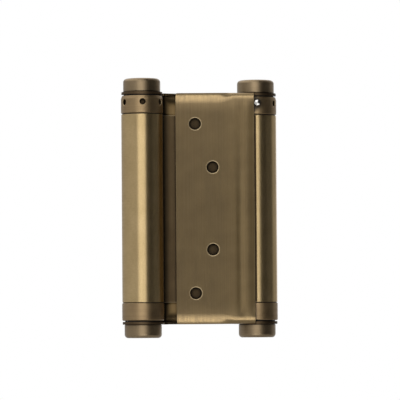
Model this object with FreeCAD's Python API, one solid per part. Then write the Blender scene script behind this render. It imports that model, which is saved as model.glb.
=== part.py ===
import FreeCAD, Part
import math
import os

# Double action spring hinge: two leaves, each with its own spring barrel, joined by one S-rolled web.
# Millimetres. +Z runs up the barrels, +X from the jamb barrel to the door barrel, +Y to the jamb.
# The hinge repeats itself after half a turn about Z, so every door piece is a turned jamb piece.

Vector = FreeCAD.Vector
ORIGIN = Vector(0, 0, 0)
UP = Vector(0, 0, 1)

# Layout
LEAF_HEIGHT = 100.0
AXIS_SPACING = 49.2
FREE_EDGE_GAP = 5.4
LEAF_GAP = 0.4

# Centre web and its rolled tubes
TUBE_DIAMETER = 17.8
WEB_THICKNESS = 1.2
ROLL_ANGLE = 322.0

# Leaves: plate, rolled rims and ears
LEAF_THICKNESS = 1.2
LEAF_EDGE_OFFSET = 0.8
RIM_INNER_RADIUS = 9.8
RIM_MIDPLANE_GAP = 0.22
RIM_BLEND_LENGTH = 5.4
EAR_INNER_RADIUS = 1.4
EAR_DIAMETER = 17.6
CORNER_RADIUS = 0.8

# Countersunk screw holes
SCREW_HOLE_DIAMETER = 5.0
COUNTERSINK_DEPTH = 0.6
HOLE_EDGE_BREAK = 0.12
OUTER_HOLE_INSET = 8.4
INNER_HOLE_INSET = 15.9
OUTER_HOLE_FROM_END = 13.4
HOLE_PITCH = 18.8

# Spindles, caps and washers
SPINDLE_DIAMETER = 6.0
TENON_DIAMETER = 4.8
TENON_DEPTH = 4.0
CAP_DIAMETER = 16.0
CAP_HEIGHT = 5.8
CAP_FILLET = 1.6
CAP_FOOT_CHAMFER = 0.3
WASHER_DIAMETER = 15.6
WASHER_THICKNESS = 0.4

# Tension collars, anchor collars and tension pins
COLLAR_STEP = 0.1
COLLAR_HEIGHT = 7.6
COLLAR_TAPER = 0.4
COLLAR_TAPER_HEIGHT = 1.4
COLLAR_EDGE_CHAMFER = 0.25
ANCHOR_CHAMFER = 0.35
SPIGOT_LENGTH = 6.0
BAR_HOLE_COUNT = 6
BAR_HOLE_DIAMETER = 2.6
BAR_HOLE_DEPTH = 3.5
BAR_HOLE_FROM_TOP = 2.8
PIN_REACH = 2.0
PIN_CHAMFER = 0.35

# Torsion springs
WIRE_DIAMETER = 2.0
COIL_CLEARANCE = 1.1
COIL_PITCH = 3.3
SPRING_END_GAP = 0.4
TANG_LENGTH = 3.0
ELBOW_SWELL = 1.03

# Clearances
SHAFT_CLEARANCE = 0.05
PIN_CLEARANCE = 0.05
RUNNING_GAP = 0.05
COLLAR_SEAM = 0.4
TANG_CLEARANCE = 0.15

# Radii, heights and places that follow from the sizes above
TUBE_RADIUS = TUBE_DIAMETER / 2
TUBE_BORE_RADIUS = TUBE_RADIUS - WEB_THICKNESS
COLLAR_RADIUS = TUBE_RADIUS + COLLAR_STEP
EAR_RADIUS = EAR_DIAMETER / 2
SPINDLE_RADIUS = SPINDLE_DIAMETER / 2
TENON_RADIUS = TENON_DIAMETER / 2
PIN_RADIUS = BAR_HOLE_DIAMETER / 2 - PIN_CLEARANCE
WIRE_RADIUS = WIRE_DIAMETER / 2
COIL_RADIUS = TUBE_BORE_RADIUS - COIL_CLEARANCE - WIRE_RADIUS

AXIS_DEPTH = TUBE_RADIUS - WEB_THICKNESS / 2
LEAF_REACH = AXIS_SPACING - COLLAR_RADIUS - FREE_EDGE_GAP
RIM_START = EAR_RADIUS + RIM_BLEND_LENGTH
LEAF_INNER_FACE = TUBE_RADIUS + LEAF_GAP
LEAF_OUTER_FACE = LEAF_INNER_FACE + LEAF_THICKNESS

EAR_TOP = LEAF_HEIGHT / 2
EAR_UNDERSIDE = EAR_TOP - LEAF_THICKNESS
COLLAR_END = EAR_UNDERSIDE - WASHER_THICKNESS - RUNNING_GAP
TUBE_BOTTOM = -COLLAR_END + COLLAR_HEIGHT
TUBE_TOP = COLLAR_END - COLLAR_HEIGHT - COLLAR_SEAM
SPIGOT_BOTTOM = TUBE_TOP + COLLAR_SEAM - SPIGOT_LENGTH
SPIGOT_TOP = TUBE_BOTTOM + SPIGOT_LENGTH

BAR_HOLE_LEVEL = COLLAR_END - BAR_HOLE_FROM_TOP
BAR_HOLE_FLOOR = COLLAR_RADIUS - BAR_HOLE_DEPTH
# The pin leans against the leaf's edge, so that edge fixes how far the hole ring is turned.
EDGE_RADIUS = math.hypot(LEAF_EDGE_OFFSET, LEAF_INNER_FACE)
EDGE_ANGLE = math.degrees(math.atan2(LEAF_INNER_FACE, LEAF_EDGE_OFFSET))
PIN_TURN = math.degrees(math.asin((PIN_RADIUS + PIN_CLEARANCE) / EDGE_RADIUS))
PIN_ANGLE = EDGE_ANGLE + PIN_TURN


def polar(radius, degrees, height=0.0):
    """A point at a radius and an angle about Z."""
    angle = math.radians(degrees)
    return Vector(radius * math.cos(angle), radius * math.sin(angle), height)


def arc(centre, radius, start, end):
    """A round edge about a centre in the XY plane, from one angle to another."""
    ends = [centre + polar(radius, degrees) for degrees in (start, (start + end) / 2, end)]
    return Part.Arc(*ends).toShape()


def line(start, end):
    """A straight edge."""
    return Part.LineSegment(start, end).toShape()


def disc(radius, bottom, top):
    """A plain round solid on the barrel axis between two heights."""
    return Part.makeCylinder(radius, top - bottom, Vector(0, 0, bottom))


def round_edges(shape, radius, height):
    """The circular edges of a turned shape at one radius and height."""
    found = []
    for edge in shape.Edges:
        if isinstance(edge.Curve, Part.Circle):
            same_radius = abs(edge.Curve.Radius - radius) < 1e-6
            same_height = abs(edge.Curve.Center.z - height) < 1e-6
            if same_radius and same_height:
                found.append(edge)
    return found


def upside_down(shape):
    """The same piece at the other end of its barrel."""
    return shape.rotated(ORIGIN, Vector(1, 0, 0), 180)


def jamb_place(shape):
    """A piece made about its own barrel axis, moved to the jamb barrel."""
    return shape.translated(Vector(-AXIS_SPACING / 2, -AXIS_DEPTH, 0))


def door_place(shape):
    """The jamb piece turned half way round the hinge, which is the door piece."""
    return jamb_place(shape).rotated(ORIGIN, UP, 180)


# Centre web


def centre_web():
    """One strip rolled into a tube along each edge, on opposite faces, like a flat letter S."""
    edges = []
    for side in (-1, 1):
        axis = Vector(side * AXIS_SPACING / 2, side * AXIS_DEPTH, 0)
        start = -90.0 * side
        end = start + ROLL_ANGLE
        edges.append(arc(axis, TUBE_RADIUS, start, end))
        edges.append(line(axis + polar(TUBE_RADIUS, end), axis + polar(TUBE_BORE_RADIUS, end)))
        edges.append(arc(axis, TUBE_BORE_RADIUS, end, start))
        inner_start = axis + polar(TUBE_BORE_RADIUS, start)
        edges.append(line(inner_start, -axis + polar(TUBE_RADIUS, start + 180)))
    section = Part.Face(Part.Wire(Part.__sortEdges__(edges)))
    section.translate(Vector(0, 0, TUBE_BOTTOM))
    return section.extrude(Vector(0, 0, TUBE_TOP - TUBE_BOTTOM))


# Leaves, made about the barrel axis with the plate on the +Y side


def bent_strip(inner_radius, angle, flange):
    """Half of a leaf's section in YZ: plate from mid height, one bend at the top, then a flange."""
    outer_radius = inner_radius + LEAF_THICKNESS
    bend_y = LEAF_OUTER_FACE - outer_radius
    bend_z = EAR_TOP - outer_radius * math.sin(math.radians(angle))

    def section_point(radius, degrees, along=0.0):
        turn = math.radians(degrees)
        y = bend_y + radius * math.cos(turn) - along * math.sin(turn)
        z = bend_z + radius * math.sin(turn) + along * math.cos(turn)
        return Vector(0, y, z)

    def section_arc(radius):
        points = [section_point(radius, degrees) for degrees in (0, angle / 2, angle)]
        return Part.Arc(*points).toShape()

    foot_outer = Vector(0, LEAF_OUTER_FACE, 0)
    foot_inner = Vector(0, LEAF_INNER_FACE, 0)
    outer_end = section_point(outer_radius, angle, flange)
    inner_end = section_point(inner_radius, angle, flange)
    edges = [
        line(foot_inner, foot_outer),
        line(foot_outer, section_point(outer_radius, 0)),
        section_arc(outer_radius),
        line(outer_end, inner_end),
        section_arc(inner_radius),
        line(section_point(inner_radius, 0), foot_inner),
    ]
    if flange > 0:
        edges.append(line(section_point(outer_radius, angle), outer_end))
        edges.append(line(section_point(inner_radius, angle), inner_end))
    return Part.Face(Part.Wire(Part.__sortEdges__(edges)))


def rim_angle():
    """How far the rims roll in before they come to the gap at the hinge's middle plane."""
    bend_y = LEAF_OUTER_FACE - RIM_INNER_RADIUS - LEAF_THICKNESS
    depth_left = AXIS_DEPTH + RIM_MIDPLANE_GAP - bend_y
    return math.degrees(math.acos(depth_left / RIM_INNER_RADIUS))


def leaf_plate():
    """The flat of the leaf beyond the ears, with rolled top and bottom rims and rounded free corners."""
    section = bent_strip(RIM_INNER_RADIUS, rim_angle(), 0.0)
    rim_section = section.translated(Vector(RIM_START, 0, 0))
    bend_section = bent_strip(EAR_INNER_RADIUS, 90.0, 0.0).translated(Vector(EAR_RADIUS, 0, 0))
    blend = Part.makeLoft([bend_section.OuterWire, rim_section.OuterWire], True, True)
    upper_half = rim_section.extrude(Vector(LEAF_REACH - RIM_START, 0, 0)).fuse(blend)
    plate = upper_half.fuse(upside_down_in_plane(upper_half))
    corner = EAR_TOP - CORNER_RADIUS
    outline = Part.makeBox(
        LEAF_REACH - EAR_RADIUS, LEAF_OUTER_FACE, LEAF_HEIGHT, Vector(EAR_RADIUS, 0, -EAR_TOP)
    )
    free_corners = []
    for edge in outline.Edges:
        middle = edge.CenterOfMass
        if abs(middle.x - LEAF_REACH) < 1e-6 and abs(middle.z) > corner:
            free_corners.append(edge)
    return plate.common(outline.makeFillet(CORNER_RADIUS, free_corners))


def upside_down_in_plane(shape):
    """A leaf's lower half from its upper half."""
    return shape.mirror(ORIGIN, UP)


def leaf_ear():
    """The narrow strip beside the barrel whose end is bent square to carry the spindle."""
    flange = LEAF_OUTER_FACE - EAR_INNER_RADIUS - LEAF_THICKNESS
    section = bent_strip(EAR_INNER_RADIUS, 90.0, flange)
    section.translate(Vector(LEAF_EDGE_OFFSET, 0, 0))
    strip = section.extrude(Vector(EAR_RADIUS - LEAF_EDGE_OFFSET, 0, 0))
    round_end = disc(EAR_RADIUS, EAR_UNDERSIDE, EAR_TOP)
    tenon_hole = disc(TENON_RADIUS + SHAFT_CLEARANCE, EAR_UNDERSIDE, EAR_TOP)
    return strip.fuse(round_end).cut(tenon_hole)


def screw_hole():
    """The space a countersunk screw takes through a leaf, with its head on the inner face."""
    radius = SCREW_HOLE_DIAMETER / 2
    profile = [
        Vector(0, LEAF_INNER_FACE, 0),
        Vector(radius + COUNTERSINK_DEPTH, LEAF_INNER_FACE, 0),
        Vector(radius, LEAF_INNER_FACE + COUNTERSINK_DEPTH, 0),
        Vector(radius, LEAF_OUTER_FACE - HOLE_EDGE_BREAK, 0),
        Vector(radius + HOLE_EDGE_BREAK, LEAF_OUTER_FACE, 0),
        Vector(0, LEAF_OUTER_FACE, 0),
        Vector(0, LEAF_INNER_FACE, 0),
    ]
    return Part.Face(Part.makePolygon(profile)).revolve(ORIGIN, Vector(0, 1, 0), 360)


def screw_places():
    """Where a leaf's screws stand: an outer pair near the free edge and an inner pair."""
    outer_height = LEAF_HEIGHT / 2 - OUTER_HOLE_FROM_END
    inner_height = outer_height - HOLE_PITCH
    places = []
    for side in (-1, 1):
        places.append(Vector(LEAF_REACH - OUTER_HOLE_INSET, 0, side * outer_height))
        places.append(Vector(LEAF_REACH - INNER_HOLE_INSET, 0, side * inner_height))
    return places


def leaf():
    """A pressed leaf: plate, rims and both ears in one piece, pierced for screws and spindle."""
    ear = leaf_ear()
    blank = leaf_plate().fuse([ear, upside_down_in_plane(ear)]).removeSplitter()
    holes = [screw_hole().translated(place) for place in screw_places()]
    return blank.cut(holes)


# Spindle, caps and washers


def spindle():
    """The rod through a barrel, with a tenon at each end that passes the ear into the cap."""
    tenon_end = EAR_TOP + TENON_DEPTH
    rod = disc(SPINDLE_RADIUS, -EAR_UNDERSIDE, EAR_UNDERSIDE)
    tenon = disc(TENON_RADIUS, -tenon_end, tenon_end)
    return rod.fuse(tenon)


def top_cap():
    """A turned button with a softened crown, bored to sit on the spindle's tenon."""
    crown = EAR_TOP + CAP_HEIGHT
    cap = disc(CAP_DIAMETER / 2, EAR_TOP, crown)
    cap = cap.makeFillet(CAP_FILLET, round_edges(cap, CAP_DIAMETER / 2, crown))
    cap = cap.makeChamfer(CAP_FOOT_CHAMFER, round_edges(cap, CAP_DIAMETER / 2, EAR_TOP))
    return cap.cut(disc(TENON_RADIUS + SHAFT_CLEARANCE, EAR_TOP, EAR_TOP + TENON_DEPTH))


def top_washer():
    """A thin wear washer between the ear and the collar."""
    bottom = EAR_UNDERSIDE - WASHER_THICKNESS
    ring = disc(WASHER_DIAMETER / 2, bottom, EAR_UNDERSIDE)
    return ring.cut(disc(SPINDLE_RADIUS + SHAFT_CLEARANCE, bottom, EAR_UNDERSIDE))


# Collars and tension pin


def collar_blank(spigot_radius, taper, taper_height):
    """A turned collar at the top of a barrel: tapered head, spigot in the tube, bore and tang hole."""
    shoulder = COLLAR_END - COLLAR_HEIGHT
    taper_start = COLLAR_END - taper_height
    bore = SPINDLE_RADIUS + SHAFT_CLEARANCE
    profile = [
        Vector(bore, 0, COLLAR_END),
        Vector(COLLAR_RADIUS - taper, 0, COLLAR_END),
        Vector(COLLAR_RADIUS, 0, taper_start),
        Vector(COLLAR_RADIUS, 0, shoulder + COLLAR_EDGE_CHAMFER),
        Vector(COLLAR_RADIUS - COLLAR_EDGE_CHAMFER, 0, shoulder),
        Vector(spigot_radius, 0, shoulder),
        Vector(spigot_radius, 0, shoulder - SPIGOT_LENGTH),
        Vector(bore, 0, shoulder - SPIGOT_LENGTH),
        Vector(bore, 0, COLLAR_END),
    ]
    blank = Part.Face(Part.makePolygon(profile)).revolve(ORIGIN, UP, 360)
    tang_hole = Part.makeCylinder(
        WIRE_RADIUS + TANG_CLEARANCE,
        TANG_LENGTH,
        Vector(COIL_RADIUS, 0, shoulder - SPIGOT_LENGTH),
    )
    return blank.cut(tang_hole)


def tension_collar():
    """The collar that a bar turns to wind the spring, with a ring of bar holes."""
    collar = collar_blank(TUBE_BORE_RADIUS - SHAFT_CLEARANCE, COLLAR_TAPER, COLLAR_TAPER_HEIGHT)
    holes = []
    for index in range(BAR_HOLE_COUNT):
        direction = polar(1.0, PIN_ANGLE + index * 360.0 / BAR_HOLE_COUNT)
        start = direction * BAR_HOLE_FLOOR + Vector(0, 0, BAR_HOLE_LEVEL)
        holes.append(Part.makeCylinder(BAR_HOLE_DIAMETER / 2, COLLAR_RADIUS, start, direction))
    return collar.cut(holes)


def anchor_collar():
    """The plain collar that is pressed in the tube's lower end and holds the spring's other tang."""
    return upside_down(collar_blank(TUBE_BORE_RADIUS, ANCHOR_CHAMFER, ANCHOR_CHAMFER))


def tension_pin():
    """The steel pin in a bar hole that leans on the leaf's edge and keeps the spring wound."""
    direction = polar(1.0, PIN_ANGLE)
    start = direction * BAR_HOLE_FLOOR + Vector(0, 0, BAR_HOLE_LEVEL)
    length = LEAF_OUTER_FACE - COLLAR_RADIUS + BAR_HOLE_DEPTH + PIN_REACH - LEAF_THICKNESS
    pin = Part.makeCylinder(PIN_RADIUS, length, start, direction)
    tip = start + direction * length
    tip_edges = [edge for edge in pin.Edges if (edge.CenterOfMass - tip).Length < 1e-6]
    return pin.makeChamfer(PIN_CHAMFER, tip_edges)


# Spring


def torsion_spring():
    """A right hand coil with a straight tang at each end, one for each collar's tang hole."""
    bottom = SPIGOT_TOP + SPRING_END_GAP + WIRE_RADIUS
    top = SPIGOT_BOTTOM - SPRING_END_GAP - WIRE_RADIUS
    turns = max(1, round((top - bottom) / COIL_PITCH))
    helix = Part.makeHelix((top - bottom) / turns, top - bottom, COIL_RADIUS)
    start = helix.Edges[0].Vertexes[0].Point
    tangent = helix.Edges[0].tangentAt(helix.Edges[0].FirstParameter)
    section = Part.Wire(Part.makeCircle(WIRE_RADIUS, start, tangent))
    coil = helix.makePipeShell([section], True, True)
    coil.translate(Vector(0, 0, bottom))
    tang_reach = WIRE_RADIUS + SPRING_END_GAP + TANG_LENGTH
    ends = []
    for height, way in ((bottom, -1), (top, 1)):
        corner = Vector(COIL_RADIUS, 0, height)
        ends.append(Part.makeSphere(WIRE_RADIUS * ELBOW_SWELL, corner))
        ends.append(Part.makeCylinder(WIRE_RADIUS, tang_reach, corner, UP * way))
    return coil.fuse(ends)


def hinge_pieces():
    """Every piece of the hinge by name, in its place with the hinge closed."""
    pieces = {"centre_web": centre_web()}
    barrel_pieces = {
        "leaf": leaf(),
        "spindle": spindle(),
        "top_cap": top_cap(),
        "bottom_cap": upside_down(top_cap()),
        "top_washer": top_washer(),
        "bottom_washer": upside_down(top_washer()),
        "tension_collar": tension_collar(),
        "tension_pin": tension_pin(),
        "anchor_collar": anchor_collar(),
        "spring": torsion_spring(),
    }
    for name, shape in barrel_pieces.items():
        pieces["jamb_" + name] = jamb_place(shape)
        pieces["door_" + name] = door_place(shape)
    return pieces


os.makedirs("parts", exist_ok=True)
for node, solid in hinge_pieces().items():
    solid.exportStep("parts/" + node + ".step")
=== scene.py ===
"""Dress a double action spring hinge in antique brass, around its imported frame."""

import logging
import math
from collections.abc import Callable
from dataclasses import dataclass, field
from enum import Enum

import bmesh
import bpy
from mathutils import Matrix, Vector


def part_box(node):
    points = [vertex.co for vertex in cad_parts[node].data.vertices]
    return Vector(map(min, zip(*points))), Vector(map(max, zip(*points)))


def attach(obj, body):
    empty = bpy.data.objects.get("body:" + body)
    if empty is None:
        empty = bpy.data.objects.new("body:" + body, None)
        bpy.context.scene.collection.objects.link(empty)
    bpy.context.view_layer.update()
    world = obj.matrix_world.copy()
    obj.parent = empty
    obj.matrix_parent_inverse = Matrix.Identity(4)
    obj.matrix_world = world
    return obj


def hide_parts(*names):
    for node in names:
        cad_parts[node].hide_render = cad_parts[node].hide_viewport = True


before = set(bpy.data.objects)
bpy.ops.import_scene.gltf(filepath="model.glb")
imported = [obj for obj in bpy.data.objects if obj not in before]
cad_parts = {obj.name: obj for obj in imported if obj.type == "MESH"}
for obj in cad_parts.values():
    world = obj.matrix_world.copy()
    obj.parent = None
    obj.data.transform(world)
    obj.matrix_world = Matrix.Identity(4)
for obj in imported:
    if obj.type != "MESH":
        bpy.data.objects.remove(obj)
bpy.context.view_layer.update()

LOG = logging.getLogger("spring_hinge")

# Meshes are shaped in millimetres on their own barrel, then put into the frame in metres.
MM = 0.001

Colour = tuple[float, float, float]
Profile = list[tuple[float, float]]


def smooth_step(start: float, end: float, value: float) -> float:
    """Ease from 0 to 1 between two values.

    Args:
        start: Value up to which the result is 0.
        end: Value from which the result is 1.
        value: Value to ease.

    Returns:
        The eased share, from 0 to 1.
    """
    share = min(max((value - start) / (end - start), 0.0), 1.0)
    return share * share * (3.0 - 2.0 * share)


class Side(Enum):
    """The two halves of the hinge, which repeat each other after half a turn."""

    JAMB = "jamb"
    DOOR = "door"

    def node(self, piece: str) -> str:
        """Name this side's own piece."""
        return f"{self.value}_{piece}"

    def axis(self) -> Vector:
        """Give the place of this side's barrel axis at mid height, in metres."""
        low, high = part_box(self.node("top_cap"))
        return Vector(((low.x + high.x) / 2, (low.y + high.y) / 2, 0.0))

    def place(self) -> Matrix:
        """Give the move from millimetres on the barrel to metres in the frame."""
        turn = Matrix.Rotation(math.pi if self is Side.DOOR else 0.0, 4, "Z")
        return Matrix.Translation(self.axis()) @ turn @ Matrix.Scale(MM, 4)


class End(Enum):
    """The two ends of a barrel, with the sign of their height."""

    TOP = 1
    BOTTOM = -1

    def node(self, piece: str) -> str:
        """Name the piece at this end."""
        return f"{self.name.lower()}_{piece}"

    def mirror(self) -> Matrix:
        """Give the mirror that sends a top piece to this end."""
        return Matrix.Scale(self.value, 4, (0, 0, 1))


class Grain(Enum):
    """The way the fine lines of a metal surface run."""

    UPRIGHT = "upright"
    ROUND = "round"


class NodeBench:
    """A node tree, with short ways to add nodes and wire them."""

    NOISE_LOW = 0.3
    NOISE_HIGH = 0.7

    def __init__(self, owner: "bpy.types.Material | bpy.types.World") -> None:
        """Start with an empty tree."""
        self.owner = owner
        owner.use_nodes = True
        self.tree = owner.node_tree
        self.tree.nodes.clear()

    def add(self, kind: str, **inputs: object) -> bpy.types.Node:
        """Add a node.

        Args:
            kind: The node's type, without the ShaderNode prefix.
            **inputs: Node properties by their own names, and the values or sources of
                sockets by the socket's name with spaces as underscores.

        Returns:
            The new node.
        """
        node = self.tree.nodes.new(f"ShaderNode{kind}")
        sockets = {socket.name.replace(" ", "_"): socket for socket in reversed(node.inputs)}
        for name, value in inputs.items():
            if name not in sockets:
                setattr(node, name, value)
            elif isinstance(value, bpy.types.NodeSocket):
                self.wire(value, sockets[name])
            else:
                sockets[name].default_value = value
        return node

    def wire(self, start: bpy.types.NodeSocket, end: bpy.types.NodeSocket) -> None:
        """Join an output socket to an input socket."""
        self.tree.links.new(start, end)

    def ranged(
        self, source: bpy.types.NodeSocket, low: float, high: float,
        start: float = NOISE_LOW, end: float = NOISE_HIGH,
    ) -> bpy.types.NodeSocket:
        """Spread part of a value's range over another range.

        Args:
            source: The value, such as a noise.
            low: Result up to the start.
            high: Result from the end.
            start: Start of the part, by default of a noise's useful part.
            end: End of the part.

        Returns:
            The socket with the spread value.
        """
        spread = self.add(
            "MapRange", Value=source, From_Min=start, From_Max=end, To_Min=low, To_Max=high,
        )
        return spread.outputs["Result"]

    def total(self, first: bpy.types.NodeSocket, second: bpy.types.NodeSocket) -> bpy.types.NodeSocket:
        """Add two values, held between 0 and 1.

        Args:
            first: One value.
            second: The other value.

        Returns:
            The socket with the sum.
        """
        node = self.add("Math", operation="ADD", use_clamp=True)
        for value, socket in zip((first, second), node.inputs):
            self.wire(value, socket)
        return node.outputs["Value"]

    def blend(
        self,
        share: bpy.types.NodeSocket,
        first: "bpy.types.NodeSocket | Colour",
        second: "bpy.types.NodeSocket | Colour",
    ) -> bpy.types.NodeSocket:
        """Mix two colours.

        Args:
            share: How much of the second colour shows.
            first: Colour, or socket with it, where the share is 0.
            second: Colour, or socket with it, where the share is 1.

        Returns:
            The mixed colour's socket.
        """
        node = self.add("Mix", data_type="RGBA", Factor=share)
        ends = [socket for socket in node.inputs if socket.type == "RGBA"]
        for socket, colour in zip(ends, (first, second)):
            if isinstance(colour, tuple):
                socket.default_value = (*colour, 1.0)
            else:
                self.wire(colour, socket)
        return next(socket for socket in node.outputs if socket.type == "RGBA")


@dataclass(frozen=True)
class MetalFinish:
    """A metal surface with fine lines, uneven tone, and darker recesses, which are painted shade as well as
    patina.
    """

    name: str
    bright: Colour
    dull: Colour
    roughness: float
    grain: Grain
    lines_per_mm: float
    line_depth_mm: float
    anisotropy: float
    cloud_share: float = 0.35
    line_share: float = 0.25
    # Recess darkening paints shade into hollows and corners, together with their patina.
    recess: Colour = (0.03, 0.022, 0.014)
    recess_share: float = 1.0
    recess_reach_mm: float = 1.6
    recess_open: float = 0.9
    recess_shut: float = 0.3
    line_stretch: float = 0.012
    clouds_per_m: float = 140.0
    lacquer: float = 0.5
    lacquer_roughness: float = 0.35
    # A painted shadow spot round a given point, such as a pin's foot.
    shadow_core_mm: float = 1.5
    shadow_reach_mm: float = 4.0
    shadow_share: float = 0.85
    smoothest: float = 0.85
    roughest: float = 1.2

    def line_noise(self, bench: NodeBench, axis: Vector) -> bpy.types.NodeSocket:
        """Make the noise of the fine lines.

        Args:
            bench: Node tree to work in.
            axis: Barrel axis that round lines go about, in metres.

        Returns:
            The noise value's socket.
        """
        place = bench.add("TexCoord").outputs["Object"]
        centred = bench.add("Mapping", vector_type="POINT", Vector=place, Location=-axis).outputs["Vector"]
        if self.grain is Grain.UPRIGHT:
            course, stretch = centred, self.line_stretch
        else:
            parts = bench.add("SeparateXYZ", Vector=centred)
            flat = bench.add("CombineXYZ", X=parts.outputs["X"], Y=parts.outputs["Y"])
            radius = bench.add("VectorMath", operation="LENGTH", Vector=flat.outputs["Vector"])
            rings = bench.add("CombineXYZ", X=radius.outputs["Value"], Z=parts.outputs["Z"])
            course, stretch = rings.outputs["Vector"], 1.0
        per_metre = self.lines_per_mm / MM
        scaled = bench.add("VectorMath", operation="MULTIPLY", Vector=course)
        scaled.inputs[1].default_value = (per_metre, per_metre, per_metre * stretch)
        noise = bench.add("TexNoise", Vector=scaled.outputs["Vector"], Scale=1.0, Detail=3.0, Roughness=0.6)
        return noise.outputs["Fac"]

    def tone(
        self, bench: NodeBench, lines: bpy.types.NodeSocket, shadow_spot: Vector | None,
    ) -> bpy.types.NodeSocket:
        """Mix the colour: bright metal, dulled in clouds and lines, with painted shade in recesses, where
        the mesh's shade map asks for it and round a shadow spot.

        Args:
            bench: Node tree to work in.
            lines: Noise of the fine lines.
            shadow_spot: Middle of a painted shadow spot, in metres, if there is one.

        Returns:
            The colour's socket.
        """
        place = bench.add("TexCoord").outputs["Object"]
        clouds = bench.add("TexNoise", Vector=place, Scale=self.clouds_per_m, Detail=3.0)
        worn = bench.total(
            bench.ranged(clouds.outputs["Fac"], 0.0, self.cloud_share),
            bench.ranged(lines, 0.0, self.line_share),
        )
        # Painted shade and patina: darker where the surroundings close in.
        probe = bench.add("AmbientOcclusion", samples=8, Distance=self.recess_reach_mm * MM)
        openness = probe.outputs["AO"]
        depth = bench.ranged(openness, 0.0, self.recess_share, self.recess_open, self.recess_shut)
        # Painted shade that the mesh carries in its shade map.
        grime = bench.add("Attribute", attribute_name=Blank.PAINTED_SHADE_MAP)
        dark = bench.total(depth, grime.outputs["Fac"])
        # A painted shadow round the spot.
        if shadow_spot:
            away = bench.add("VectorMath", operation="DISTANCE", Vector=place)
            away.inputs[1].default_value = shadow_spot
            core, reach = self.shadow_core_mm * MM, self.shadow_reach_mm * MM
            spot = bench.ranged(away.outputs["Value"], self.shadow_share, 0.0, core, reach)
            dark = bench.total(dark, spot)
        surface = bench.blend(worn, self.bright, self.dull)
        return bench.blend(dark, surface, self.recess)

    def material(self, axis: Vector | None = None, shadow_spot: Vector | None = None) -> bpy.types.Material:
        """Make the finish as a node material.

        Args:
            axis: Barrel axis that round lines go about, in metres.
            shadow_spot: Middle of a painted shadow spot, in metres, if there is one.

        Returns:
            The material.
        """
        bench = NodeBench(bpy.data.materials.new(self.name))
        lines = self.line_noise(bench, axis or Vector())
        quarter = 0.25 if self.grain is Grain.ROUND else 0.0
        ridges = bench.add("Bump", Strength=1.0, Distance=self.line_depth_mm * MM, Height=lines)
        along = bench.add("Tangent", direction_type="UV_MAP", uv_map=Blank.GRAIN_MAP)
        shader = bench.add(
            "BsdfPrincipled", Metallic=1.0, Base_Color=self.tone(bench, lines, shadow_spot),
            Roughness=bench.ranged(lines, self.roughness * self.smoothest, self.roughness * self.roughest),
            Anisotropic=self.anisotropy, Anisotropic_Rotation=quarter,
            Coat_Weight=self.lacquer, Coat_Roughness=self.lacquer_roughness,
            Normal=ridges.outputs["Normal"], Tangent=along.outputs["Tangent"],
        )
        bench.add("OutputMaterial", Surface=shader.outputs["BSDF"])
        return bench.owner


@dataclass(frozen=True)
class MouldedFinish:
    """A plain moulded surface with a fine even grain."""

    name: str
    colour: Colour
    roughness: float
    grains_per_mm: float
    smoothest: float = 0.8
    roughest: float = 1.2

    def material(self) -> bpy.types.Material:
        """Make the finish as a node material.

        Returns:
            The material.
        """
        bench = NodeBench(bpy.data.materials.new(self.name))
        place = bench.add("TexCoord").outputs["Object"]
        noise = bench.add("TexNoise", Vector=place, Scale=self.grains_per_mm / MM, Detail=2.0)
        roughest = min(self.roughness * self.roughest, 1.0)
        spread = bench.ranged(noise.outputs["Fac"], self.roughness * self.smoothest, roughest)
        shader = bench.add("BsdfPrincipled", Base_Color=(*self.colour, 1.0), Roughness=spread)
        bench.add("OutputMaterial", Surface=shader.outputs["BSDF"])
        return bench.owner


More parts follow.
